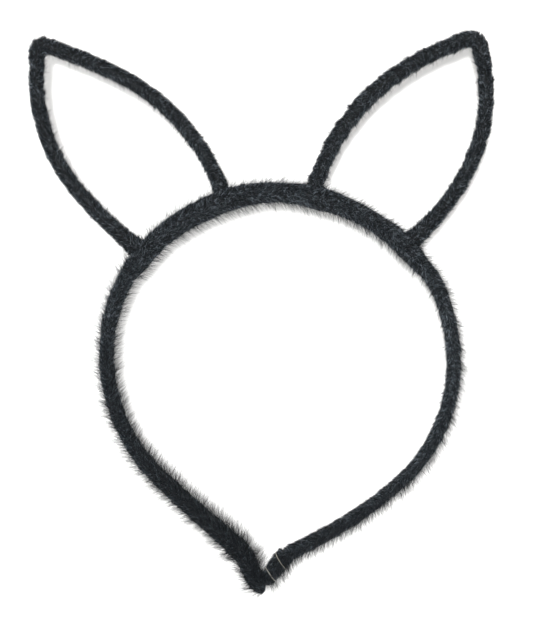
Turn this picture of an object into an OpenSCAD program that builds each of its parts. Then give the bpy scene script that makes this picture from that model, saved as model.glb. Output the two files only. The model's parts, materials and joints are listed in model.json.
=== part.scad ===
// Rabbit-ears headband: a flat spring-steel hoop with two wire ears, all bound in black plush ribbon.
//
// The hoop lies in the XZ plane and its depth runs along Y, with the front where Y is negative. Z is up.
// Left and right are as seen from the front, and left is where X is negative. The origin is the centre
// of the round seat under the crown.
// Everything is laid out as a path of bends in the hoop's own plane, the way wire and strip are bent.

/* [Crown] */
// Radius of the seat that rests on the head
seat_r = 57; // [54:0.5:57]
// Thickness of the bound crown, from the seat outwards
crown_t = 7.9; // [7.9:0.1:9]
// Radius of the steel strip's arc over the crown
crown_bend_r = 65.2; // [65.2:0.1:65.8]
// How far that arc's centre lies below the seat's centre
crown_bend_drop = 5.2; // [5.2:0.1:5.8]
// Angle of the crown to each side of its top, where the arms start to flex
crown_half = 53.6; // [53:0.1:54]

/* [Strip] */
// Thickness of the spring-steel strip
strip_t = 1; // [0.8:0.1:1]
// Width of the strip, which is the hoop's depth without ribbon
strip_w = 5; // [4:0.5:5]

/* [Arms] */
// Heading at which the left arm leaves the crown
left_arm_heading = 234.6; // [234:0.1:235]
// Heading at which the right arm leaves the crown
right_arm_heading = -57.5; // [-58:0.1:-57]
// Length of the left arm past its last kink
left_tip_length = 11; // [8:0.5:11]
// Length of the right arm past its last kink
right_tip_length = 8; // [6:0.5:8]
// Turn of the left arm's last kink
left_kink = -27; // [-28:1:-26]
// Turn of the right arm's last kink
right_kink = 38; // [38:1:41]

/* [Ears] */
// Diameter of the ear wire
wire_d = 1.6; // [1.2:0.1:1.6]
// Angle from the crown's top to the left ear's outer foot
left_foot_at = 47.9; // [47:0.1:48]
// Angle from the crown's top to the right ear's outer foot
right_foot_at = -44.2; // [-45:0.1:-44]
// Heading of the left ear where it leaves its outer foot
left_ear_heading = 140.9; // [140:0.1:141]
// Heading of the right ear where it leaves its outer foot
right_ear_heading = 44; // [43:0.1:44]
// Length of wire laid along the crown at each foot
foot_length = 14; // [10:1:14]
// Tilt of an ear to the front or back
ear_tilt = 30; // [10:1:30]

/* [Ribbon] */
// Thickness of a bound arm across the hoop's plane
arm_t = 5.8; // [5:0.1:5.8]
// Depth of the bound hoop
band_w = 9.6; // [9:0.1:10]
// Diameter of a bound ear
ear_d = 5.4; // [5:0.1:5.4]
// Thickness of the folded ribbon end at the left tip
left_sleeve_t = 5.6; // [5:0.1:5.6]
// Thickness of the folded ribbon end at the right tip
right_sleeve_t = 4.4; // [4:0.1:4.4]

/* [Hidden] */
$fn = 48;

// Each bend is [length, turn]: a straight run has turn 0, and a positive turn goes to the left.
// Three bends a side, with a flex point before each.
left_arm = [[42, 44.5], [42, 37], [40, 5]];
right_arm = [[42, -38.5], [40, -41], [52.5, -19]];
// Ears run from the outer foot up to the tip and down to the inner foot, with a straight neck at each end
neck = 6.5;
left_ear = [[neck, 0], [29, -12], [49.5, -48.5], [5.1, -97], [27.5, -10], [53.2, -41], [neck, 0]];
right_ear = [[neck, 0], [31.2, 21.5], [42.4, 42], [4.7, 90], [29, 17.5], [46.6, 35], [neck, 0]];

// Clearances
joint_gap = 0.35; // between pieces that move past each other
flex_gap = 0.6; // from a flex point to the ribbon on each side of it
slack = 0.25; // round the strip inside its ribbon
fit = 0.05; // between pieces that lie on each other
hair = 0.01; // each run of tube stops this far short of the next, inside their collar
collar_w = 1; // width of the collar that joins two runs of tube
elbow_w = 1.4; // width of a foot's elbow

wire_r = wire_d / 2;
ear_r = ear_d / 2;
nose_r = strip_t / 2 + 0.1; // rolled end of a strip
crown_out_r = seat_r + crown_t;
foot_r = crown_bend_r + strip_t / 2 + fit + wire_r; // where the feet lie, on the strip's outer face
seat_chamfer = 2.2;
arm_chamfer = 1.6;
sleeve_chamfer = 1.4;
sleeve_w = band_w + 0.6;
sleeve_lap = 4; // how far a mitred piece starts before its kink
lash_t = 0.5; // thickness of a lashing
lash_length = 5;
wire_skip = 1.4; // the ear wire starts this far above its foot's axis
outer_neck_skip = 5; // bare wire above an outer foot
inner_neck_skip = 6.3; // and above an inner foot
lash_at = 0.55; // where a lashing sits, as a share of the foot's length
lash_room = 0.1; // between a lashing and the ribbon
wire_bead = 0.1; // how far a tube's collars stand out from it
bead_length = 1; // glue past the strip's rolled end
big = 60; // larger than anything that a cutting block has to reach

// A state on a path is [x, y, heading]
function ahead(h) = [cos(h), sin(h)];
function moved(s, v, turn) = [s.x + v.x, s.y + v.y, s.z + turn];
function bend_r(b) = b[0] * 180 / (PI * b[1]);
function chord(h, b) = b[1] == 0 || b[0] == 0
    ? b[0] * ahead(h)
    : bend_r(b) * [sin(h + b[1]) - sin(h), cos(h) - cos(h + b[1])];
function after(s, b) = moved(s, chord(s.z, b), b[1]);
function state(s, bends, n) = n == 0 ? s : after(state(s, bends, n - 1), bends[n - 1]);

// A point on an arc about the centre of the crown's bend, by its angle from the top
function on_crown(r, a) = [-r * sin(a), r * cos(a) - crown_bend_drop];
function crown_angle(p) = atan2(-p.x, p.y + crown_bend_drop);
function polar(p) = atan2(p.y, p.x);
function heading_to(p, q) = polar(q - p);
function state_at(p, h) = [p.x, p.y, h];
function turned_back(s) = state_at(s, s.z + 180);

left_start = state_at(on_crown(crown_bend_r, crown_half), left_arm_heading);
right_start = state_at(on_crown(crown_bend_r, -crown_half), right_arm_heading);
left_ear_start = state_at(on_crown(foot_r, left_foot_at), left_ear_heading);
right_ear_start = state_at(on_crown(foot_r, right_foot_at), right_ear_heading);
left_ear_end = state(left_ear_start, left_ear, len(left_ear));
right_ear_end = state(right_ear_start, right_ear, len(right_ear));
left_foot_end = crown_angle(left_ear_end);
right_foot_end = crown_angle(right_ear_end);
left_tilt_line = heading_to(on_crown(foot_r, left_foot_at), on_crown(foot_r, left_foot_end));
right_tilt_line = heading_to(on_crown(foot_r, right_foot_at), on_crown(foot_r, right_foot_end));

// Stands the hoop's plane upright
module upright() rotate([90, 0, 0]) children();

module at(s) translate([s.x, s.y, 0]) rotate(s.z) children();

// Sweeps a profile, x across the path and y along the depth, over one bend
module run(s, b, skip = 0, stop = 0) {
    length = b[0] - skip - stop;
    if (b[1] == 0)
        at(s) translate([skip, 0, 0]) rotate([90, 0, 90]) linear_extrude(length) children();
    else {
        r = abs(bend_r(b));
        left = b[1] > 0;
        centre = [s.x, s.y] + r * ahead(s.z + (left ? 90 : -90));
        skipped = abs(b[1]) * skip / b[0];
        swept = abs(b[1]) * length / b[0];
        translate([centre.x, centre.y, 0])
            rotate(left ? s.z - 90 + skipped : s.z + 90 - skipped - swept)
                rotate_extrude(angle = swept) translate([r, 0]) children();
    }
}

module chamfered(t, w, c) {
    x = t / 2;
    y = w / 2;
    polygon([[-x, c - y], [c - x, -y], [x - c, -y], [x, c - y],
             [x, y - c], [x - c, y], [c - x, y], [-x, y - c]]);
}

// The bound section of an arm, with room for the strip inside
module bound(t, w, c) {
    difference() {
        chamfered(t, w, c);
        square([strip_t + 2 * slack, strip_w + 2 * slack], center = true);
    }
}

module steel() color("silver") upright() children();
module plush() color("#23282d") upright() children();
module glue() color("#d9d4c6") upright() children();

// ---- hoop strip ----

module knuckle(s, r) at(s) translate([0, 0, fit - strip_w / 2]) cylinder(r = r, h = strip_w - 2 * fit);

module strip_socket(s)
    at(turned_back(s)) translate([0, 0, -strip_w]) cylinder(r = nose_r + joint_gap, h = 2 * strip_w);

// One length of strip: a hollow end at its own flex point and a rolled nose at the next
module arm_strip(s, b) steel() {
    difference() {
        union() {
            run(s, b, skip = nose_r) square([strip_t, strip_w], center = true);
            knuckle(after(s, b), nose_r);
        }
        strip_socket(s);
    }
}

module last_strip(s, b, kink, tip) {
    corner = moved(after(s, b), [0, 0], kink);
    steel() difference() {
        union() {
            run(s, b, skip = nose_r, stop = hair) square([strip_t, strip_w], center = true);
            knuckle(corner, nose_r);
            run(corner, [tip, 0], skip = hair) square([strip_t, strip_w], center = true);
            knuckle(after(corner, [tip, 0]), nose_r);
        }
        strip_socket(s);
    }
}

module crown_arc(r, from, to) {
    translate([0, -crown_bend_drop, 0])
        rotate(90 + min(from, to)) rotate_extrude(angle = abs(to - from)) translate([r, 0]) children();
}

module crown_strip() steel() {
    crown_arc(crown_bend_r, -crown_half, crown_half) square([strip_t, strip_w], center = true);
    knuckle(left_start, nose_r);
    knuckle(right_start, nose_r);
}

// ---- ear wires ----

// A round tube over every bend of a path, with a collar slightly over its own size at each joint
module tube(start, bends, r, bead, skip, stop) {
    last = len(bends) - 1;
    for (i = [0:last])
        run(state(start, bends, i), bends[i], skip = i == 0 ? skip : hair, stop = i == last ? stop : hair)
            circle(r);
    for (i = [1:last])
        run(state(start, bends, i), [collar_w / 2, 0], skip = -collar_w / 2) circle(r + bead);
}

module ear_wire(start, bends) {
    steel() tube(start, bends, wire_r, wire_bead, wire_skip, wire_skip);
}

// Angle along the crown that a length of foot takes
function foot_turn(length) = length * 180 / (PI * foot_r);

// A foot runs along the strip towards the crown's middle, from an elbow on the line that its ear tilts about.
// The elbow is flattened where it lies on the strip.
module foot(at_angle, towards, tilt_line) steel() difference() {
    union() {
        crown_arc(foot_r, at_angle, at_angle + towards * foot_turn(foot_length)) circle(wire_r);
        run(state_at(on_crown(foot_r, at_angle), tilt_line), [elbow_w / 2, 0], skip = -elbow_w / 2)
            circle(wire_r + wire_bead);
    }
    crown_arc(crown_bend_r, at_angle - foot_turn(elbow_w), at_angle + foot_turn(elbow_w))
        square([strip_t + fit, strip_w], center = true);
}

// Where each foot starts and which way it runs
feet = [[left_foot_at, -1], [left_foot_end, -1], [right_foot_at, 1], [right_foot_end, 1]];

// The frame of thread round strip and wire, and the room it takes
module lash_section(grow) {
    low = -strip_t / 2 - fit - grow;
    high = strip_t / 2 + 2 * fit + wire_d + grow;
    translate([low, -strip_w / 2 - fit - grow]) square([high - low, strip_w + 2 * (fit + grow)]);
}

module lashing(f, along_length, grow_out, grow_in) {
    half = foot_turn(along_length) / 2;
    middle = f[0] + f[1] * foot_turn(foot_length * lash_at);
    crown_arc(crown_bend_r, middle - half, middle + half) difference() {
        lash_section(grow_out);
        if (grow_in >= 0) lash_section(grow_in);
    }
}

module foot_lashings() color("#1d1f22") upright()
    for (f = feet) lashing(f, lash_length, lash_t, 0);

// ---- ribbon ----

module foot_channel(f) {
    extra = foot_turn(1);
    crown_arc(crown_bend_r, f[0] - f[1] * extra, f[0] + f[1] * (foot_turn(foot_length) + extra))
        translate([0, -wire_r - slack]) square([strip_t / 2 + wire_d + 2 * fit + slack, wire_d + 2 * slack]);
}

// The slot in the crown's ribbon where an ear's neck comes out and swings
module neck_slot(s) {
    depth = crown_out_r - norm([s.x, s.y]);
    half = (depth + 1) * tan(ear_tilt) + wire_r / cos(ear_tilt) + joint_gap;
    along_crown = 2 * (wire_r + 2 * slack);
    at(s) translate([0, -along_crown / 2, -half]) cube([2 * neck, along_crown, 2 * half]);
}

module crown_wrap() plush() {
    gap = flex_gap * 180 / (PI * crown_out_r);
    from = polar(right_start) + gap;
    to = polar(left_start) - gap;
    difference() {
        rotate(from) rotate_extrude(angle = to - from) translate([seat_r + crown_t / 2, 0])
            chamfered(crown_t, band_w, seat_chamfer);
        crown_arc(crown_bend_r, -crown_half - 2, crown_half + 2)
            square([strip_t + 2 * slack, strip_w + 2 * slack], center = true);
        for (f = feet) {
            foot_channel(f);
            lashing(f, lash_length + 4 * lash_room, lash_t + lash_room, -1);
        }
        neck_slot(left_ear_start);
        neck_slot(turned_back(left_ear_end));
        neck_slot(right_ear_start);
        neck_slot(turned_back(right_ear_end));
    }
}

module ear_wrap(start, bends) plush() difference() {
    tube(start, bends, ear_r, wire_bead, outer_neck_skip, inner_neck_skip);
    tube(start, bends, wire_r + fit, wire_bead + fit, wire_skip, wire_skip);
}

module arm_wrap(s, b) plush()
    run(s, b, skip = flex_gap, stop = flex_gap) bound(arm_t, band_w, arm_chamfer);

// Everything past the mitre at a kink
module past_mitre(s, heading)
    at([s.x, s.y, heading]) translate([-fit / 2, -big / 2, -big / 2]) cube(big);

module before_mitre(s, heading)
    at([s.x, s.y, heading]) translate([fit / 2 - big, -big / 2, -big / 2]) cube(big);

module lower_wrap(s, b, kink) {
    corner = after(s, b);
    longer = [b[0] + sleeve_lap, b[1] * (b[0] + sleeve_lap) / b[0]];
    plush() difference() {
        run(s, longer, skip = flex_gap) bound(arm_t, band_w, arm_chamfer);
        past_mitre(corner, corner.z + kink / 2);
        at(corner) translate([0, 0, -strip_w / 2 - slack]) cylinder(r = nose_r + slack, h = strip_w + 2 * slack);
    }
}

module tip_sleeve(s, b, kink, tip, t) {
    corner = after(s, b);
    start = moved(corner, -sleeve_lap * ahead(corner.z + kink), kink);
    end = after(start, [sleeve_lap + tip, 0]);
    plush() difference() {
        union() {
            run(start, [sleeve_lap + tip, 0]) chamfered(t, sleeve_w, sleeve_chamfer);
            translate([end.x, end.y, slack - sleeve_w / 2])
                cylinder(r = t / 2 + 2 * fit, h = sleeve_w - 2 * slack);
        }
        before_mitre(corner, corner.z + kink / 2);
        run(start, [sleeve_lap + tip + nose_r + bead_length + slack, 0])
            square([strip_t + 2 * slack, strip_w + 2 * slack], center = true);
    }
}

// A bead of hot glue that holds the folded ribbon on the strip's end
module tip_glue(s, b, kink, tip) {
    corner = moved(after(s, b), [0, 0], kink);
    glue() run(corner, [tip + nose_r + fit + bead_length, 0], skip = tip + nose_r + fit)
        square([strip_t, strip_w], center = true);
}

// ---- pieces ----

left_states = [for (i = [0:2]) state(left_start, left_arm, i)];
right_states = [for (i = [0:2]) state(right_start, right_arm, i)];

module left_ear_outer_foot() foot(left_foot_at, -1, left_tilt_line);
module left_ear_inner_foot() foot(left_foot_end, -1, left_tilt_line);
module right_ear_outer_foot() foot(right_foot_at, 1, right_tilt_line);
module right_ear_inner_foot() foot(right_foot_end, 1, right_tilt_line);
module left_ear_wire() ear_wire(left_ear_start, left_ear);
module left_ear_wrap() ear_wrap(left_ear_start, left_ear);
module right_ear_wire() ear_wire(right_ear_start, right_ear);
module right_ear_wrap() ear_wrap(right_ear_start, right_ear);

module left_upper_strip() arm_strip(left_states[0], left_arm[0]);
module left_middle_strip() arm_strip(left_states[1], left_arm[1]);
module left_lower_strip() last_strip(left_states[2], left_arm[2], left_kink, left_tip_length);
module left_upper_wrap() arm_wrap(left_states[0], left_arm[0]);
module left_middle_wrap() arm_wrap(left_states[1], left_arm[1]);
module left_lower_wrap() lower_wrap(left_states[2], left_arm[2], left_kink);
module left_tip_sleeve()
    tip_sleeve(left_states[2], left_arm[2], left_kink, left_tip_length, left_sleeve_t);
module left_tip_glue() tip_glue(left_states[2], left_arm[2], left_kink, left_tip_length);

module right_upper_strip() arm_strip(right_states[0], right_arm[0]);
module right_middle_strip() arm_strip(right_states[1], right_arm[1]);
module right_lower_strip() last_strip(right_states[2], right_arm[2], right_kink, right_tip_length);
module right_upper_wrap() arm_wrap(right_states[0], right_arm[0]);
module right_middle_wrap() arm_wrap(right_states[1], right_arm[1]);
module right_lower_wrap() lower_wrap(right_states[2], right_arm[2], right_kink);
module right_tip_sleeve()
    tip_sleeve(right_states[2], right_arm[2], right_kink, right_tip_length, right_sleeve_t);
module right_tip_glue() tip_glue(right_states[2], right_arm[2], right_kink, right_tip_length);

crown_strip();
crown_wrap();
foot_lashings();
left_ear_outer_foot();
left_ear_inner_foot();
right_ear_outer_foot();
right_ear_inner_foot();
left_ear_wire();
left_ear_wrap();
right_ear_wire();
right_ear_wrap();
left_upper_strip();
left_middle_strip();
left_lower_strip();
left_upper_wrap();
left_middle_wrap();
left_lower_wrap();
left_tip_sleeve();
left_tip_glue();
right_upper_strip();
right_middle_strip();
right_lower_strip();
right_upper_wrap();
right_middle_wrap();
right_lower_wrap();
right_tip_sleeve();
right_tip_glue();
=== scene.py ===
import json
import math

import bpy
import numpy as np
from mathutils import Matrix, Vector
from mathutils.bvhtree import BVHTree


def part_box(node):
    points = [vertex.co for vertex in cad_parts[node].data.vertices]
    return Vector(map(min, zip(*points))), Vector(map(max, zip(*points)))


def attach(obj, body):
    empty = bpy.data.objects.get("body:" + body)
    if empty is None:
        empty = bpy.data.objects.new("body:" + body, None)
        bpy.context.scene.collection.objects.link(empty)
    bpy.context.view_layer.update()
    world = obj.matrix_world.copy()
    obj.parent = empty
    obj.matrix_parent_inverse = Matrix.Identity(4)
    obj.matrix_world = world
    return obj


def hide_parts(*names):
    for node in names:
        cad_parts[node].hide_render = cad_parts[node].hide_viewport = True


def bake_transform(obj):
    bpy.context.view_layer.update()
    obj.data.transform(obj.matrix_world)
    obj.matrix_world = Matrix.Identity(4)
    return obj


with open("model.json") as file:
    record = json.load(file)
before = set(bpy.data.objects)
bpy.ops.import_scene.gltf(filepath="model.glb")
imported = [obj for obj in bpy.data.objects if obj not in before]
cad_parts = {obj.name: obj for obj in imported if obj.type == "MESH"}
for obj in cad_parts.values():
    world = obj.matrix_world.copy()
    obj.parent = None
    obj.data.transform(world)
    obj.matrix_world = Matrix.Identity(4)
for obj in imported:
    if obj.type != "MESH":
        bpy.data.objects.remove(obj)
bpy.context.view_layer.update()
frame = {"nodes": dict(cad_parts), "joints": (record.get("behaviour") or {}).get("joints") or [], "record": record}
scene = bpy.context.scene

MM = 0.001
DEPTH = np.array([0.0, 1.0, 0.0])
SIDES = ("left", "right")
JOINT = {j["name"]: j for j in frame["joints"]}
SEAT = frame["record"]["mounts"][0]


# ---- reading the frame ----

RAY_REACH = 0.3  # longer than from any centre used here to the outside of its part


def box_size(node_name):
    low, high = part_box(node_name)
    return high - low


def tree_of(nodes):
    points, faces = [], []
    for name in nodes:
        mesh = frame["nodes"][name].data
        offset = len(points)
        points += [v.co.copy() for v in mesh.vertices]
        faces += [[offset + i for i in p.vertices] for p in mesh.polygons]
    return BVHTree.FromPolygons(points, faces)


def ray(angle):
    return Vector((math.cos(angle), 0, math.sin(angle)))


def ray_spine(nodes, centre, angles):
    """Middle of what a ray out of the centre crosses at each angle: the line that the nodes run along."""
    tree = tree_of(nodes)
    found = []
    for angle in angles:
        out = ray(angle)
        near = tree.ray_cast(centre, out, RAY_REACH)
        far = tree.ray_cast(centre + out * RAY_REACH, -out, RAY_REACH)
        if near[0] is not None and far[0] is not None:
            found.append((near[0] + far[0]) / 2)
    return np.array(found)


def along(line):
    """Length from the start of a line to each of its points."""
    steps = np.linalg.norm(np.diff(line, axis=0), axis=1)
    return np.concatenate([[0], np.cumsum(steps)])


def evenly(points, spacing):
    """The same line with points a fixed distance apart."""
    lengths = along(points)
    wanted = np.linspace(0, lengths[-1], max(2, int(round(lengths[-1] / spacing)) + 1))
    return np.stack([np.interp(wanted, lengths, points[:, k]) for k in range(3)], axis=1)


def eased(points, length, spacing):
    """Rounds a line off over about this length, and keeps its ends."""
    half = max(1, int(round(length / spacing / 2)))
    padded = np.concatenate([
        2 * points[0] - points[half:0:-1], points, 2 * points[-1] - points[-2:-half - 2:-1]])
    kernel = np.hanning(2 * half + 3)[1:-1]
    kernel /= kernel.sum()
    return np.stack([np.convolve(padded[:, k], kernel, "valid") for k in range(3)], axis=1)


def smooth(t):
    t = np.clip(t, 0, 1)
    return t * t * (3 - 2 * t)


def unit(v):
    return v / np.linalg.norm(v)


# ---- materials ----

# Colours of the plush from the darkest fibre's tone to the palest's; the palest are partly the fibres' own paler
# tone and partly painted sheen
PLUSH_TONES = [
    (0.0, (0.0003, 0.0010, 0.0016)), (0.35, (0.0019, 0.0042, 0.0061)),
    (0.7, (0.025, 0.037, 0.048)), (1.0, (0.34, 0.39, 0.44))]
PATCH_TONE = 0.15  # how far the slow patches change a fibre's tone


def material(name, colour, roughness, metallic=0.0):
    m = bpy.data.materials.new(name)
    m.use_nodes = True
    shader = m.node_tree.nodes["Principled BSDF"]
    shader.inputs["Base Color"].default_value = (*colour, 1)
    shader.inputs["Roughness"].default_value = roughness
    shader.inputs["Metallic"].default_value = metallic
    return m, m.node_tree, shader


def node(tree, kind, **values):
    """A new node, with each value set on its input of that name, or else as a property."""
    n = tree.nodes.new(kind)
    for key, value in values.items():
        if key in n.inputs:
            n.inputs[key].default_value = value
        else:
            setattr(n, key, value)
    return n


def ramp(tree, source, stops):
    n = tree.nodes.new("ShaderNodeValToRGB")
    while len(n.color_ramp.elements) < len(stops):
        n.color_ramp.elements.new(0.5)
    for element, (place, colour) in zip(n.color_ramp.elements, stops):
        element.position = place
        element.color = (*colour, 1)
    tree.links.new(source, n.inputs[0])
    return n.outputs["Color"]


def noise(tree, vector, scale, detail):
    n = node(tree, "ShaderNodeTexNoise", Scale=scale, Detail=detail)
    tree.links.new(vector, n.inputs["Vector"])
    return n.outputs["Fac"]


def bump(tree, shader, source, strength, distance):
    n = node(tree, "ShaderNodeBump", Strength=strength, Distance=distance)
    tree.links.new(source, n.inputs["Height"])
    tree.links.new(n.outputs["Normal"], shader.inputs["Normal"])


def vary_roughness(tree, shader, source, least, most):
    n = node(tree, "ShaderNodeMapRange")
    n.inputs["To Min"].default_value = least
    n.inputs["To Max"].default_value = most
    tree.links.new(source, n.inputs["Value"])
    tree.links.new(n.outputs["Result"], shader.inputs["Roughness"])


def plush_material():
    """Black synthetic pile: a tone for each fibre, and slow changes of tone along the ribbon."""
    m, tree, shader = material("plush", (0.012, 0.014, 0.018), 0.62)
    place = node(tree, "ShaderNodeTexCoord").outputs["Object"]
    patches = noise(tree, place, 140.0, 3.0)
    fibre = node(tree, "ShaderNodeAttribute", attribute_name="tone")
    tone = node(tree, "ShaderNodeMath", operation="MULTIPLY_ADD")
    tree.links.new(patches, tone.inputs[0])
    tone.inputs[1].default_value = PATCH_TONE
    tree.links.new(fibre.outputs["Fac"], tone.inputs[2])
    tree.links.new(ramp(tree, tone.outputs[0], PLUSH_TONES), shader.inputs["Base Color"])
    vary_roughness(tree, shader, patches, 0.5, 0.75)
    bump(tree, shader, noise(tree, place, 2600.0, 2.0), 0.35, 0.0002)
    shader.inputs["Specular IOR Level"].default_value = 0.25
    shader.inputs["Sheen Weight"].default_value = 0.05
    shader.inputs["Sheen Roughness"].default_value = 0.45
    shader.inputs["Sheen Tint"].default_value = (0.75, 0.82, 0.95, 1)
    return m


def grained(name, tones, metallic, roughness, scale, stretch, relief):
    """A finish whose colour, roughness and relief follow one noise, stretched along the axes."""
    m, tree, shader = material(name, tones[-1][1], roughness[0], metallic)
    spread = node(tree, "ShaderNodeMapping", Scale=stretch)
    tree.links.new(node(tree, "ShaderNodeTexCoord").outputs["Object"], spread.inputs["Vector"])
    grain = noise(tree, spread.outputs["Vector"], scale, 4.0)
    tree.links.new(ramp(tree, grain, tones), shader.inputs["Base Color"])
    vary_roughness(tree, shader, grain, *roughness)
    bump(tree, shader, grain, 0.4, relief)
    return m


PLUSH = plush_material()
STEEL = grained(
    "steel", [(0.3, (0.32, 0.32, 0.33)), (0.7, (0.60, 0.60, 0.59))], metallic=1.0,
    roughness=(0.22, 0.45), scale=260.0, stretch=(1.0, 6.0, 1.0), relief=0.00005)
THREAD = grained(
    "thread", [(0.3, (0.006, 0.007, 0.009)), (0.7, (0.035, 0.038, 0.043))], metallic=0.0,
    roughness=(0.6, 0.9), scale=900.0, stretch=(1.0, 0.15, 1.0), relief=0.00015)
GLUE = grained(
    "glue", [(0.3, (0.52, 0.48, 0.38)), (0.7, (0.78, 0.75, 0.66))], metallic=0.0,
    roughness=(0.15, 0.4), scale=420.0, stretch=(1.0, 1.0, 1.0), relief=0.0001)


# ---- camera, stage and lights ----

def make_camera():
    # the photograph's view: level, square to the hoop, a little left of and above the seat's centre
    frame_height = 0.2239
    aim_x, aim_z, distance = -0.0048, 0.0180, 2.0
    data = bpy.data.cameras.new("camera")
    data.sensor_width = 36
    data.lens = data.sensor_width * distance / frame_height
    camera = bpy.data.objects.new("camera", data)
    camera.location = (aim_x, -distance, aim_z)
    camera.rotation_euler = (math.pi / 2, 0, 0)
    scene.collection.objects.link(camera)
    scene.camera = camera


def stage_profile(reach):
    """Side view of the stage, in y and z: a floor, a quarter circle and a wall."""
    floor_z, wall_y, curve_r, steps = -0.110, 0.043, 0.03, 12
    profile = [(-reach, floor_z), (wall_y - curve_r, floor_z)]
    for k in range(1, steps):
        a = math.pi / 2 * k / steps
        profile.append((wall_y - curve_r + curve_r * math.sin(a), floor_z + curve_r * (1 - math.cos(a))))
    return profile + [(wall_y, floor_z + curve_r), (wall_y, reach)]


def stage_material():
    """Matt white from the front. It is clear from behind, and casts no shadow."""
    m, tree, shader = material("stage", (0.93, 0.93, 0.925), 0.9)
    facing = node(tree, "ShaderNodeNewGeometry")
    path = node(tree, "ShaderNodeLightPath")
    either = node(tree, "ShaderNodeMath", operation="MAXIMUM")
    tree.links.new(facing.outputs["Backfacing"], either.inputs[0])
    tree.links.new(path.outputs["Is Shadow Ray"], either.inputs[1])
    clear = node(tree, "ShaderNodeBsdfTransparent")
    mix = node(tree, "ShaderNodeMixShader")
    tree.links.new(either.outputs[0], mix.inputs[0])
    tree.links.new(shader.outputs[0], mix.inputs[1])
    tree.links.new(clear.outputs[0], mix.inputs[2])
    tree.links.new(mix.outputs[0], tree.nodes["Material Output"].inputs["Surface"])
    return m


def make_stage():
    """A pale floor that curves up into a backdrop."""
    reach = 3.0
    profile = stage_profile(reach)
    points = [(x, y, z) for y, z in profile for x in (-reach, reach)]
    faces = [(2 * k, 2 * k + 1, 2 * k + 3, 2 * k + 2) for k in range(len(profile) - 1)]
    mesh = bpy.data.meshes.new("stage")
    mesh.from_pydata(points, [], faces)
    mesh.polygons.foreach_set("use_smooth", [True] * len(faces))
    mesh.materials.append(stage_material())
    stage = bpy.data.objects.new("stage", mesh)
    scene.collection.objects.link(stage)


def make_light(name, kind, place, power, size):
    """A lamp aimed at the origin: size is a disk's diameter in metres, or the sun's in degrees."""
    data = bpy.data.lights.new(name, kind)
    data.energy = power
    if kind == "SUN":
        data.angle = math.radians(size)
    else:
        data.shape = "DISK"
        data.size = size
    light = bpy.data.objects.new(name, data)
    light.location = place
    light.rotation_euler = (-Vector(place)).to_track_quat("-Z", "Y").to_euler()
    scene.collection.objects.link(light)


def make_world():
    """The studio beyond the backdrop looks white, and lights the object only dimly."""
    world = bpy.data.worlds.new("world")
    world.use_nodes = True
    tree = world.node_tree
    dim = tree.nodes["Background"]
    dim.inputs["Color"].default_value = (1.0, 0.975, 0.94, 1)
    dim.inputs["Strength"].default_value = 0.19
    white = node(tree, "ShaderNodeBackground", Color=(1, 1, 1, 1), Strength=1.0)
    path = node(tree, "ShaderNodeLightPath")
    mix = node(tree, "ShaderNodeMixShader")
    tree.links.new(path.outputs["Is Camera Ray"], mix.inputs[0])
    tree.links.new(dim.outputs[0], mix.inputs[1])
    tree.links.new(white.outputs[0], mix.inputs[2])
    tree.links.new(mix.outputs[0], tree.nodes["World Output"].inputs["Surface"])
    scene.world = world


def make_lights():
    # the front light is nearly in line with the camera, so that the backdrop shows a narrow soft shadow
    make_light("front", "SUN", (-0.031, -1.0, 0.036), 2.8, 2.8)
    make_light("top_left", "AREA", (-0.35, -0.35, 0.5), 1.7, 0.4)
    make_light("back", "AREA", (0.5, 1.0, 0.7), 7, 0.5)
    make_light("ceiling", "SUN", (0.0, 0.0, 1.0), 0.5, 40)


scene.view_settings.view_transform = "Standard"
make_camera()
make_stage()
make_world()
make_lights()


# ---- spines ----

SPACING = 0.5 * MM
CROWN_GAP = 3  # degrees on each side of an upper flex that are bridged, not measured
ARM_SWEEP = 130  # degrees from an upper flex to past the tip
LEFT_OVERHANG = 3.0 * MM  # how far the folded ribbon reaches past the end of the strip
RIGHT_OVERHANG = 2.6 * MM
LEFT_HOOK = 1.0 * MM  # length that hooks under the right tip
LEFT_HOOK_SLANT = 0.8  # how far the hook turns sideways, against its way down
EAR_ROOT = 1.2 * MM  # how far an ear's winding goes on past its wire, into the crown's
HOOP_EASE = 5 * MM  # length over which the measured hoop is rounded off
END_EASE = 2 * MM  # the same once the ends are added


def straight_on(line, amount, over):
    """A point past the end of a line, straight on from its last points."""
    return line[-1] + amount * unit(line[-1] - line[-1 - over])


def crown_line(start, stop):
    """Arc through the middle of the crown's winding, between two angles."""
    _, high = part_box("crown_wrap")
    middle_r = (SEAT["dims"]["r_mm"] * MM + high.z) / 2
    inset = math.radians(CROWN_GAP)
    around = np.linspace(start - inset, stop + inset, 200)
    return np.stack([middle_r * np.cos(around), 0 * around, middle_r * np.sin(around)], axis=1)


def arm_line(side, start):
    """Middle of an arm's strip, from just past its upper flex to its tip."""
    turn = 1 if side == "left" else -1
    sweep = np.radians(np.arange(CROWN_GAP, ARM_SWEEP, 0.25)) * turn
    nodes = [f"{side}_{part}_strip" for part in ("upper", "middle", "lower")]
    return ray_spine(nodes, Vector((0, 0, 0)), start + sweep)


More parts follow.
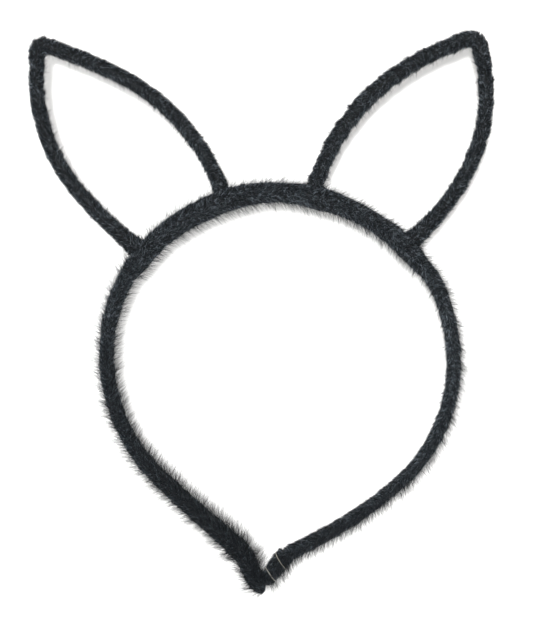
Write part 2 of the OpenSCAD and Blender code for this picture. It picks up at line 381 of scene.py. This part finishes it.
def hoop_spine():
    """Centreline of the bound hoop, from the left tip up over the crown to the right tip."""
    flexes = [JOINT[f"{side}_upper_flex"]["pos_m"] for side in SIDES]
    left, right = [math.atan2(p[2], p[0]) for p in flexes]
    line = np.concatenate([arm_line("left", left)[::-1], crown_line(left, right), arm_line("right", right)])
    line = eased(evenly(line, SPACING), HOOP_EASE, SPACING)
    # the folded ribbon reaches past the strip's ends, and at the left one it hooks under the right tip
    downward = unit(line[0] - line[8])
    sideways = np.cross(downward, DEPTH)
    hooked = unit(downward + LEFT_HOOK_SLANT * sideways * np.sign(sideways[0]))
    left_end = line[0] + LEFT_OVERHANG * downward
    right_end = straight_on(line, RIGHT_OVERHANG, 8)
    line = np.concatenate([[left_end + LEFT_HOOK * hooked, left_end], line, [right_end]])
    return eased(evenly(line, SPACING), END_EASE, SPACING)


def ear_spine(side):
    """Centreline of an ear, from its outer foot round the tip to its inner foot."""
    wire = f"{side}_ear_wire"
    low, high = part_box(wire)
    centre = (low + high) / 2
    tree = tree_of([wire])
    turns = np.radians(np.arange(0, 360, 0.5))
    # the sweep starts in the middle of the gap between the feet, where a ray meets no wire
    missed = [turn for turn in turns if tree.ray_cast(centre, ray(turn), RAY_REACH)[0] is None]
    line = ray_spine([wire], centre, missed[len(missed) // 2] + turns)
    if abs(line[0][0]) < abs(line[-1][0]):
        line = line[::-1]
    line = np.concatenate([
        [straight_on(line[::-1], EAR_ROOT, 4)], line, [straight_on(line, EAR_ROOT, 4)]])
    return eased(evenly(line, SPACING), END_EASE, SPACING)


def frames(line):
    """Tangent at each point of a line, and the normal in the hoop's plane that points out of its loop."""
    tangent = np.gradient(line, axis=0)
    tangent /= np.linalg.norm(tangent, axis=1)[:, None]
    outward = np.cross(tangent, DEPTH)
    outward *= np.sign(np.sum(outward * (line - line.mean(axis=0))))
    return tangent, outward


def shifted(line, amount):
    _, outward = frames(line)
    return line + outward * amount[:, None]


def nearest(line, point):
    return int(np.argmin(np.linalg.norm(line - np.array(point), axis=1)))


HOOP = hoop_spine()
EARS = {side: ear_spine(side) for side in SIDES}


# ---- the shape of the bound ribbon ----

PILE_RISE = 0.65 * MM  # the pile's height over the ribbon: a winding's thickness includes it
EAR_NAP = 0.8  # length of the ears' pile against the hoop's
RING = 32  # points round a section
LUMP = 1.6 * MM  # length of one lump along the line
LUMPS_ROUND = 12
LAP_EDGE = 0.08  # share of a lap that its edge takes to fall
FLAT_CAP = 0.55  # share of the depth that is left where a cap closes

# The hoop's winding: degrees round the seat, thickness in mm, and mm that it sits out from the strip's line
HOOP_WINDING = [
    (-95, 5.0, 0.0), (-85, 5.6, -0.3), (-72, 5.3, 0.0), (-50, 4.9, 0.6), (-20, 5.2, 0.4), (15, 5.5, 0.3),
    (32, 5.9, 0.3), (42, 8.0, 0.3), (55, 7.0, -0.5), (68, 7.4, -0.8), (76, 8.3, -0.8), (90, 7.2, -0.3),
    (105, 8.2, 0.1), (120, 8.2, 0.1), (134, 7.6, 0.9), (145, 7.8, 1.3), (152, 6.2, 0.4), (175, 5.4, -0.1),
    (205, 5.5, 0.0), (225, 6.3, -0.3), (250, 6.8, -0.4), (260, 7.0, 0.0), (266, 6.2, 0.0)]
# The folded ribbon ends: mm from the tip, thickness, and mm out, up to the step where the fold starts
LEFT_FOLD = [(0, 5.2, 0.0), (4, 6.6, 0.3), (10, 6.8, 0.4), (20.5, 7.8, -0.2), (21.0, 6.6, 0.0)]
RIGHT_FOLD = [(0, 4.8, -0.5), (3, 5.4, -0.5), (8, 6.6, -0.2), (12.3, 7.2, 0.2), (12.8, 5.3, 0.0)]
# Each ear's winding from its outer foot to its inner one: share of its length, thickness, and mm out
EAR_WINDING = {
    "left": [
        (0, 7.6, 0.7), (0.07, 5.6, 0.2), (0.2, 5.4, 0.1), (0.35, 5.3, -0.4), (0.46, 5.4, -0.1),
        (0.48, 6.0, 0.5), (0.4915, 6.8, 1.0), (0.505, 6.0, 0.7), (0.53, 5.5, 0.1), (0.7, 5.3, -0.1),
        (0.92, 5.2, 0), (1, 6.2, 0)],
    "right": [
        (0, 7.0, 0.3), (0.07, 5.6, 0.2), (0.2, 5.3, 0.4), (0.3, 5.3, 0.2), (0.43, 5.4, 0.1),
        (0.491, 6.4, 0.5), (0.55, 5.5, 0.1), (0.75, 6.0, 0.2), (0.93, 5.5, 0), (1, 6.5, 0)]}
# Each ear's random seed, and how far the edges of its laps and its lumps stand out
EAR_RELIEF = {"left": (2, 0.1 * MM, 0.15 * MM), "right": (3, 0.35 * MM, 0.25 * MM)}


class Binding:
    """A ribbon-bound section swept along a line, with half a thickness and half a depth at each point.
    The section is an ellipse where square is 2, and a boxier oval above that."""

    def __init__(self, line, thick, deep, square, seed, pitch, ridge, lump_rise, capped=False):
        self.line = line
        self.tangent, self.outward = frames(line)
        self.along = along(line)
        self.thick, self.deep, self.square = thick, deep, square
        self.pitch, self.ridge, self.lump_rise = pitch, ridge, lump_rise
        self.capped = capped
        local = np.random.default_rng(seed)
        self.lumps = local.uniform(-1, 1, (int(self.along[-1] / LUMP) + 3, LUMPS_ROUND))

    def at(self, s, values):
        """What a number or vector given for each point of the line is at any length along it."""
        if values.ndim == 1:
            return np.interp(s, self.along, values)
        return np.stack([np.interp(s, self.along, values[:, k]) for k in range(3)], axis=-1)

    def lump(self, s, phi):
        """Smooth random values in -1..1 over the surface, from a grid that closes round the section."""
        u, v = s / LUMP, phi / (2 * math.pi) * LUMPS_ROUND
        i, j = np.floor(u).astype(int), np.floor(v).astype(int)
        fu, fv = smooth(u - i), smooth(v - j)
        i = np.clip(i, 0, len(self.lumps) - 2)
        j0, j1 = j % LUMPS_ROUND, (j + 1) % LUMPS_ROUND
        low = self.lumps[i, j0] * (1 - fv) + self.lumps[i, j1] * fv
        high = self.lumps[i + 1, j0] * (1 - fv) + self.lumps[i + 1, j1] * fv
        return low * (1 - fu) + high * fu

    def relief(self, s, phi):
        """Height of the ribbon's laps, which wind round the line, and of its lumps."""
        lap = (s / self.pitch + phi / (2 * math.pi)) % 1.0
        slope = (lap - 0.5) * np.clip((1 - lap) / LAP_EDGE, 0, 1)
        return self.ridge * slope + self.lump_rise * self.lump(s, phi)

    def half_sizes(self, s):
        """Half the thickness and half the depth, which close over a radius at capped ends."""
        radius = self.at(s, self.thick)
        a, b = radius, self.at(s, self.deep)
        ends = (self.along[0], self.along[-1]) if self.capped else ()
        for end in ends:
            gone = np.clip(1 - np.abs(s - end) / radius, 0, 1)
            shrink = np.sqrt(np.clip(1 - gone ** 2, 0.0, 1))
            a, b = a * shrink, b * (FLAT_CAP + (1 - FLAT_CAP) * shrink)
        return a, b

    def place(self, s, phi, rise=0.0):
        """Point, normal and tangent on the surface, at a length along the line and an angle round it."""
        a, b = self.half_sizes(s)
        n, relief = self.square, self.relief(s, phi)
        c, d = np.cos(phi), np.sin(phi)
        r = (np.abs(c) ** n + np.abs(d) ** n) ** (-1 / n)
        x, y = (a + relief) * r * c, (b + relief) * r * d
        nx = np.sign(c) * np.abs(r * c) ** (n - 1) / np.maximum(a, 1e-5)
        ny = np.sign(d) * np.abs(r * d) ** (n - 1) / np.maximum(b, 1e-5)
        size = np.hypot(nx, ny)
        out, tangent = self.at(s, self.outward), self.at(s, self.tangent)
        normal = out * (nx / size)[..., None] + DEPTH * (ny / size)[..., None]
        point = self.at(s, self.line) + out * x[..., None] + DEPTH * y[..., None] + normal * rise
        return point, normal, tangent


def hoop_angles():
    """Degrees round the seat at each point of the hoop, without a jump where they pass 180."""
    middle = len(HOOP) // 2
    angle = np.unwrap(np.arctan2(HOOP[:, 2], HOOP[:, 0]))
    return np.degrees(angle - angle[middle]) + math.degrees(math.atan2(HOOP[middle, 2], HOOP[middle, 0]))


def hoop_binding():
    angle = hoop_angles()
    places, thick, out = np.array(HOOP_WINDING).T
    thick, out = np.interp(angle, places, thick), np.interp(angle, places, out)
    for fold, from_tip in ((LEFT_FOLD, along(HOOP) / MM), (RIGHT_FOLD, along(HOOP[::-1])[::-1] / MM)):
        places, fold_thick, fold_out = np.array(fold).T
        inside = from_tip <= places[-1]
        thick[inside] = np.interp(from_tip[inside], places, fold_thick)
        out[inside] = np.interp(from_tip[inside], places, fold_out)
    thick = thick * MM
    deep = np.full(len(HOOP), box_size("crown_wrap").y)
    return Binding(
        shifted(HOOP, out * MM), thick / 2 - PILE_RISE, deep / 2 - PILE_RISE, square=2.6, seed=1,
        pitch=7 * MM, ridge=0.15 * MM, lump_rise=0.1 * MM, capped=True)


def ear_binding(side):
    share = np.linspace(0, 1, len(EARS[side]))
    places, thick, out = np.array(EAR_WINDING[side]).T
    line = shifted(EARS[side], np.interp(share, places, out) * MM)
    half = np.interp(share, places, thick) * MM / 2 - PILE_RISE * EAR_NAP
    seed, ridge, lump_rise = EAR_RELIEF[side]
    return Binding(
        line, half, half, square=2.0, seed=seed, pitch=7.5 * MM, ridge=ridge, lump_rise=lump_rise)


def tube_mesh(binding, first, last):
    """Points and faces of the ribbon between two lengths along the line, closed at both ends."""
    s = np.arange(first, last + SPACING, 2 * SPACING)
    s[-1] = last
    phi = np.linspace(0, 2 * math.pi, RING, endpoint=False)
    grid_s, grid_phi = np.meshgrid(s, phi, indexing="ij")
    points, _, _ = binding.place(grid_s.ravel(), grid_phi.ravel())
    faces = []
    for i in range(len(s) - 1):
        for j in range(RING):
            k = (j + 1) % RING
            faces.append((i * RING + j, i * RING + k, (i + 1) * RING + k, (i + 1) * RING + j))
    faces.append(tuple(range(RING))[::-1])
    faces.append(tuple((len(s) - 1) * RING + j for j in range(RING)))
    # the faces point outwards, whichever way the line runs round its loop
    if np.dot(np.cross(DEPTH, binding.tangent[0]), binding.outward[0]) < 0:
        faces = [face[::-1] for face in faces]
    return points, faces


# ---- pile ----

ROOT_DEPTH = 0.05 * MM  # how far under the ribbon's surface a blade starts
MOST_STAND = 1.45  # radians from the surface, for a blade that is nearly upright
LEAST_STAND = 0.1
MOST_DROOP = -0.15
TAPER = 0.35  # share of its width that a blade loses along its length, before it closes to a point


def roots(binding, first, last, count, local):
    """Random places on the surface between two lengths along the line, even over its area."""
    s = local.uniform(first, last, count)
    a, b = np.interp(s, binding.along, binding.thick), np.interp(s, binding.along, binding.deep)
    theta = local.uniform(0, 2 * math.pi, count)
    return s, np.arctan2(np.sin(theta) * b, np.cos(theta) * a)


def grown(place, heading, stand, step, half, curling, bend, twist, segments):
    """Points of each blade: two across the start of every segment, and one at its end."""
    point, normal, tangent = place
    across = np.cross(normal, tangent)
    rows = []
    for k in range(segments):
        flat = tangent * np.cos(heading)[:, None] + across * np.sin(heading)[:, None]
        ahead = flat * np.cos(stand)[:, None] + normal * np.sin(stand)[:, None]
        if k == 0:
            side = np.cross(ahead, normal)
            side /= np.linalg.norm(side, axis=1)[:, None] + 1e-9
            side = side * np.cos(twist) + np.cross(ahead, side) * np.sin(twist)
        taper = 1 - TAPER * k / segments
        rows += [point - side * half * taper, point + side * half * taper]
        point = point + ahead * step
        heading = heading + curling
        stand = np.clip(stand - bend, MOST_DROOP, MOST_STAND)
    rows.append(point)
    return np.stack(rows, axis=1)


def even_shade(s):
    return 1.0


def strands(binding, first, last, seed, density, length, width, lean, bend, spread, tone,
            curl=0.0, segments=2, clump=0.0, where=None, shade=even_shade):
    """Tapered blades rooted over the surface, each a run of segments that leans, bends over and curls.
    density is in blades a square metre, and lean, bend, spread and curl are angles in radians.
    where gives the share of blades that stay at a place, and shade what their tone is multiplied by: a painted
    shade, darker where light would fall off."""
    local = np.random.default_rng(seed)
    girth = 2 * math.pi * math.sqrt((binding.thick.mean() ** 2 + binding.deep.mean() ** 2) / 2)
    count = int((last - first) * girth * density)
    s, phi = roots(binding, first, last, count, local)
    if where is not None:
        share = where(s, phi)
        kept = local.random(count) < share
        s, phi, count = s[kept], phi[kept], int(kept.sum())
        # blades are longer where more of them stay
        length = length * (0.65 + 0.7 * share[kept])
    heading = local.normal(0, spread, count)
    stand = np.clip(lean + local.normal(0, 0.25, count), LEAST_STAND, MOST_STAND)
    length = length * np.clip(local.lognormal(0, 0.3, count), 0.5, 1.5) * (1 + clump * binding.lump(s, phi))
    half = (width * local.uniform(0.7, 1.3, count) / 2)[:, None]
    curling = curl * local.normal(0, 1, count)
    twist = local.uniform(0, math.pi, count)[:, None]
    place = binding.place(s, phi, rise=-ROOT_DEPTH)
    points = grown(place, heading, stand, (length / segments)[:, None], half, curling, bend, twist, segments)
    return points, np.clip(tone(local, count), 0, 1) * shade(s)


def dark_tone(local, count):
    return local.beta(1.0, 3.0, count) * 0.6


# pale fibre tones: partly the fibres' own paler tone, partly painted sheen
def pale_and_sheen_tone(local, count):
    return local.uniform(0.5, 1.0, count)


def hair_tone(local, count):
    return local.beta(1.2, 2.5, count) * 0.75


def stray_tone(local, count):
    return np.full(count, 1.0)


def pile(binding, first, last, seed, hairy, hair, nap=1.0, stand=0.6, shade=even_shade):
    """Dense short tufts combed along the line, lighter fibres among them, whose pale tone is partly their own and
    partly painted sheen, and fine hairs that stand out.
    """
    # the lighter fibres take half of the painted shade
    def pale_fibre_shade(s):
        return (1 + shade(s)) / 2
    area = (binding, first, last)
    tufts = strands(
        *area, seed, density=10e6, length=1.3 * MM * nap, width=0.20 * MM, lean=stand, bend=0.2,
        spread=0.6, tone=dark_tone, clump=0.2, shade=shade)
    # the lighter fibres: partly paler fibres, partly painted sheen on the pile
    fibres = strands(
        *area, seed + 1, density=6.0e6, length=1.5 * MM * nap, width=0.085 * MM * nap, lean=stand - 0.05,
        bend=0.15, spread=0.75, tone=pale_and_sheen_tone, curl=0.1, clump=0.3, shade=pale_fibre_shade)
    hairs = strands(
        *area, seed + 2, density=7.0e6, length=hair, width=0.07 * MM, lean=0.98, bend=0.06,
        spread=0.4, tone=hair_tone, curl=0.1, clump=0.2, where=hairy, shade=shade)
    strays = strands(
        *area, seed + 3, density=2.5e3, length=5.0 * MM, width=0.10 * MM, lean=0.35, bend=0.06,
        spread=1.5, tone=stray_tone, curl=0.45, segments=9)
    return [tufts, fibres, hairs, strays]


# ---- plush pieces ----

TUBE_TONE = 0.05
HOOP_HAIR = 3.8 * MM
EAR_HAIR = 2.4 * MM
EAR_STAND = 0.9
CROWN_INSET = 9 * MM  # from an upper flex to where the crown's piece starts
HOOP_BODIES = [
    "left_lower", "left_middle", "left_upper", "crown", "right_upper", "right_middle", "right_lower"]
CROWN = HOOP_BODIES.index("crown")


def hoop_hairy(s, phi):
    """Share of long hairs that stay: most on the left arm, and hardly any inside the right one."""
    whole = along(HOOP)[-1]
    inside = np.cos(phi) < 0
    inner = np.interp(s / whole, [0, 0.15, 0.3, 0.6, 0.68, 0.8, 1], [1.0, 0.9, 0.55, 0.6, 0.2, 0.05, 0.05])
    outer = np.interp(s / whole, [0, 0.2, 0.4, 0.6, 0.75, 0.85, 1], [0.9, 0.85, 0.55, 0.5, 0.65, 0.85, 0.85])
    return np.where(inside, inner, outer)


def hoop_painted_shade(s):
    """The pile is darker towards the tips: painted shade, for light that falls off there."""
    return np.interp(s / along(HOOP)[-1], [0, 0.12, 0.3, 0.7, 0.88, 1], [0.64, 0.72, 1.0, 1.0, 0.72, 0.64])


def ear_hairy(s, phi):
    return np.where(np.cos(phi) < 0, 0.4, 0.2)


def blade_faces(corners):
    """The corners of a blade's faces, quads and then one triangle, and how many each face has."""
    quads = [[2 * k, 2 * k + 1, 2 * k + 3, 2 * k + 2] for k in range(corners // 2 - 1)]
    shape = np.array([i for quad in quads for i in quad] + [corners - 3, corners - 2, corners - 1])
    return shape, [4] * len(quads) + [3]


def mesh_of(name, points, loops, sizes, tones):
    mesh = bpy.data.meshes.new(name)
    mesh.vertices.add(len(points))
    mesh.vertices.foreach_set("co", points.astype(np.float32).ravel())
    mesh.loops.add(len(loops))
    mesh.loops.foreach_set("vertex_index", loops.astype(np.int32))
    mesh.polygons.add(len(sizes))
    mesh.polygons.foreach_set("loop_start", np.concatenate([[0], np.cumsum(sizes)[:-1]]).astype(np.int32))
    mesh.polygons.foreach_set("use_smooth", np.ones(len(sizes), bool))
    mesh.update(calc_edges=True)
    mesh.validate()
    tone = mesh.attributes.new("tone", "FLOAT", "POINT")
    tone.data.foreach_set("value", tones.astype(np.float32))
    mesh.materials.append(PLUSH)
    return mesh


def build_piece(name, tube, blades):
    """One object from a tube and any number of sets of blades, with a tone at each point."""
    tube_points, tube_faces = tube
    points = [tube_points] + [p.reshape(-1, 3) for p, _ in blades]
    tones = [np.full(len(tube_points), TUBE_TONE)] + [np.repeat(t, p.shape[1]) for p, t in blades]
    loops = [np.array([i for face in tube_faces for i in face])]
    sizes = [np.array([len(face) for face in tube_faces])]
    base = len(tube_points)
    for p, _ in blades:
        shape, face_sizes = blade_faces(p.shape[1])
        starts = base + p.shape[1] * np.arange(len(p))[:, None]
        loops.append((starts + shape[None]).ravel())
        sizes.append(np.tile(face_sizes, len(p)))
        base += p.shape[1] * len(p)
    mesh = mesh_of(name, *[np.concatenate(rows) for rows in (points, loops, sizes, tones)])
    piece = bpy.data.objects.new(name, mesh)
    scene.collection.objects.link(piece)
    return piece


def covered(body):
    """The ribbon nodes that a body's plush stands for."""
    if body.endswith("_lower"):
        return [f"{body}_wrap", body.replace("_lower", "_tip_sleeve")]
    return [f"{body}_wrap"]


def hoop_pieces(binding):
    """One piece for each body, cut midway between the flexes, so that each crosses one flex or none."""
    s = binding.along
    joints = [JOINT[f"{body}_flex"]["pos_m"] for body in HOOP_BODIES if body != "crown"]
    flex = [s[nearest(HOOP, place)] for place in joints]
    midway = [(a + b) / 2 for a, b in zip(flex, flex[1:])]
    cuts = [0, *midway[:2], flex[2] + CROWN_INSET, flex[3] - CROWN_INSET, *midway[3:], s[-1]]
    for k, body in enumerate(HOOP_BODIES):
        first, last = cuts[k], cuts[k + 1]
        # the hoop's pile takes a painted shade that darkens it towards the tips
        blades = pile(binding, first, last, 100 + 10 * k, hoop_hairy, HOOP_HAIR, shade=hoop_painted_shade)
        piece = build_piece(f"{body}_plush", tube_mesh(binding, first, last), blades)
        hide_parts(*covered(body))
        if k == CROWN:
            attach(piece, body)
        else:
            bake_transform(piece)


def ear_piece(side, seed):
    binding = ear_binding(side)
    whole = (binding, 0, binding.along[-1])
    blades = pile(*whole, seed, ear_hairy, EAR_HAIR, nap=EAR_NAP, stand=EAR_STAND)
    piece = build_piece(f"{side}_ear_plush", tube_mesh(*whole), blades)
    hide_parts(f"{side}_ear_wrap")
    joint = JOINT[f"{side}_ear_tilt"]
    up = np.cross(np.array(joint["axis"], float), DEPTH)
    up *= np.sign(up[2])
    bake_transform(piece)


bound_hoop = hoop_binding()
hoop_pieces(bound_hoop)
ear_piece("left", 300)
ear_piece("right", 320)


# ---- glue threads and the finish of the CAD nodes ----

GLUE_THREADS = [(10.6, 8.0), (4.2, 2.4)]  # where each starts and ends, in mm from the right tip
GLUE_FROM, GLUE_TURN = 0.35 - math.pi, math.pi - 1.1  # radians round the ribbon
GLUE_RISE = 0.95 * MM
GLUE_RADIUS = 0.07 * MM


def glue_thread(name, binding, low, high):
    """A drawn-out thread of hot glue across the front of the right tip's fold."""
    t = np.linspace(0, 1, 14)
    lengths = binding.along[-1] - (low + (high - low) * t) * MM
    points, _, _ = binding.place(lengths, GLUE_FROM + GLUE_TURN * t, rise=GLUE_RISE)
    curve = bpy.data.curves.new(name, "CURVE")
    curve.dimensions = "3D"
    curve.bevel_depth = GLUE_RADIUS
    curve.bevel_resolution = 2
    curve.use_fill_caps = True
    spline = curve.splines.new("POLY")
    spline.points.add(len(t) - 1)
    for spline_point, point in zip(spline.points, points):
        spline_point.co = (*point, 1)
    curve.materials.append(GLUE)
    thread = bpy.data.objects.new(name, curve)
    scene.collection.objects.link(thread)
    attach(thread, "right_lower")


def finish_of(name):
    for ending, finish in (("_lashings", THREAD), ("_glue", GLUE), ("_wrap", PLUSH), ("_sleeve", PLUSH)):
        if name.endswith(ending):
            return finish
    return STEEL


for k, (low, high) in enumerate(GLUE_THREADS):
    glue_thread(f"glue_thread_{k + 1}", bound_hoop, low, high)

for name, cad in frame["nodes"].items():
    for slot in cad.material_slots:
        slot.material = finish_of(name)
